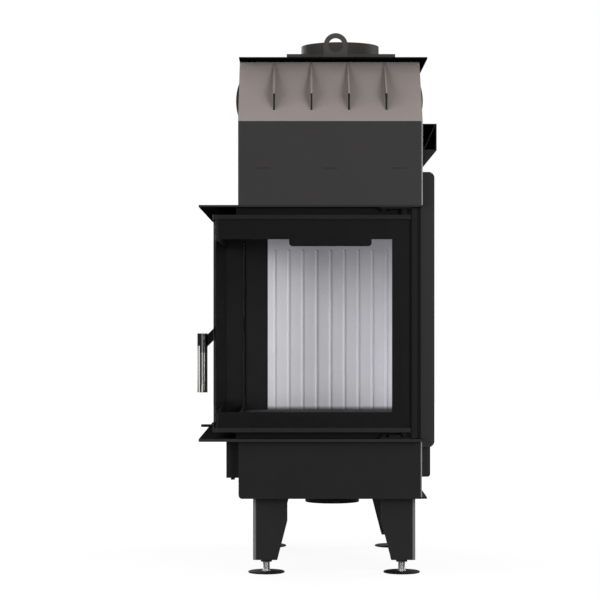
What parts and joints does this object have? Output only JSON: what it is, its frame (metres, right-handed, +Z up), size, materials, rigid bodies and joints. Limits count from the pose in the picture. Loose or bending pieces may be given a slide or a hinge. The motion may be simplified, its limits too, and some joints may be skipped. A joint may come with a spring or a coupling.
{
  "type": "fireplace insert",
  "caption": "Steel fireplace insert on adjustable legs, with an L-shaped glass corner door on a rear hinge, a side handle, an air lever and a finned smoke hood with a flue collar.",
  "frame": {"origin": "on the floor, at the middle of the outline seen from above", "axes": "+Z up, the front with the wide pane looks towards -Y, the glazed side with the hinge end looks towards +X"},
  "size_m": [0.75, 0.549, 1.193],
  "materials": {
    "black_steel": "matt heat-resistant paint",
    "thin_paint_steel": "thin satin paint",
    "taupe_steel": "matt taupe paint",
    "grey_steel": "matt warm grey paint",
    "zinc_steel": "zinc plated",
    "lining_board": "matt pressed board with grooves",
    "clear_glass": "clear glass ceramic",
    "black_enamel": "gloss black enamel",
    "seal_rope": "woven rope",
    "perforated_steel": "stainless, perforated look",
    "black_cap": "matt black"
  },
  "bodies": {
    "insert": {"base_pan": "black_steel", "base_side_panels": "black_steel", "base_back_panel": "thin_paint_steel", "air_spigot": "black_steel", "front_air_box": "black_steel", "bottom_plate": "black_steel", "top_plate": "black_steel", "front_frame": "black_steel", "side_frame": "black_steel", "rear_post": "black_steel", "firebox_back": "thin_paint_steel", "firebox_left_wall": "black_steel", "front_channel": "black_steel", "lining_back": "lining_board", "lining_left": "lining_board", "lining_floor": "lining_board", "lower_baffle": "lining_board", "upper_baffle": "lining_board", "baffle_rests": "black_steel", "air_wash_deflector": "black_steel", "upper_front_panel": "black_steel", "upper_side_panels": "black_steel", "upper_back_panel": "thin_paint_steel", "hood": "taupe_steel", "hood_side_fins": "taupe_steel", "hood_end_fins": "taupe_steel", "top_cover": "black_steel", "flue_plinth": "grey_steel", "flue_collar": "grey_steel", "lifting_lugs": "grey_steel", "rear_casing": "thin_paint_steel", "lower_rear_duct": "thin_paint_steel", "rear_channel": "thin_paint_steel", "channel_braces": "thin_paint_steel", "legs": "black_steel", "leg_nuts": "zinc_steel", "leg_bolts": "zinc_steel", "lower_hinge": "thin_paint_steel", "upper_hinge": "thin_paint_steel", "fixing_screws": "zinc_steel", "latch_keeper": "thin_paint_steel"},
    "door": {"door_glass": "clear_glass", "glass_enamel": "black_enamel", "door_top_rail": "black_steel", "door_bottom_rail": "black_steel", "latch_stile": "black_steel", "hinge_stile": "black_steel", "door_seal": "seal_rope", "glass_clips": "black_steel"},
    "handle": {"handle_shaft": "thin_paint_steel", "handle_arm": "thin_paint_steel", "handle_tube": "perforated_steel", "handle_ends": "black_cap", "latch_cam": "thin_paint_steel"},
    "air_slide": {"air_lever": "black_steel", "air_shutter": "black_steel"},
    "foot_front_left": {"front_left_foot": "zinc_steel"},
    "foot_front_right": {"front_right_foot": "zinc_steel"},
    "foot_rear_left": {"rear_left_foot": "zinc_steel"},
    "foot_rear_right": {"rear_right_foot": "zinc_steel"}
  },
  "joints": [
    {"name": "door_hinge", "type": "hinge", "parent": "insert", "child": "door", "pos_m": [0.361, 0.2055, 0.5475], "axis": [0, 0, 1], "range_deg": [0, 90]},
    {"name": "handle_turn", "type": "hinge", "parent": "door", "child": "handle", "pos_m": [-0.34, -0.208, 0.545], "axis": [0, 1, 0], "range_deg": [0, 60]},
    {"name": "air_lever_slide", "type": "slide", "parent": "insert", "child": "air_slide", "axis": [1, 0, 0], "range_m": [0, 0.08]},
    {"name": "foot_screw_front_left", "type": "slide", "parent": "insert", "child": "foot_front_left", "axis": [0, 0, 1], "range_m": [-0.03, 0.012]},
    {"name": "foot_screw_front_right", "type": "slide", "parent": "insert", "child": "foot_front_right", "axis": [0, 0, 1], "range_m": [-0.03, 0.012]},
    {"name": "foot_screw_rear_left", "type": "slide", "parent": "insert", "child": "foot_rear_left", "axis": [0, 0, 1], "range_m": [-0.03, 0.012]},
    {"name": "foot_screw_rear_right", "type": "slide", "parent": "insert", "child": "foot_rear_right", "axis": [0, 0, 1], "range_m": [-0.03, 0.012]}
  ]
}
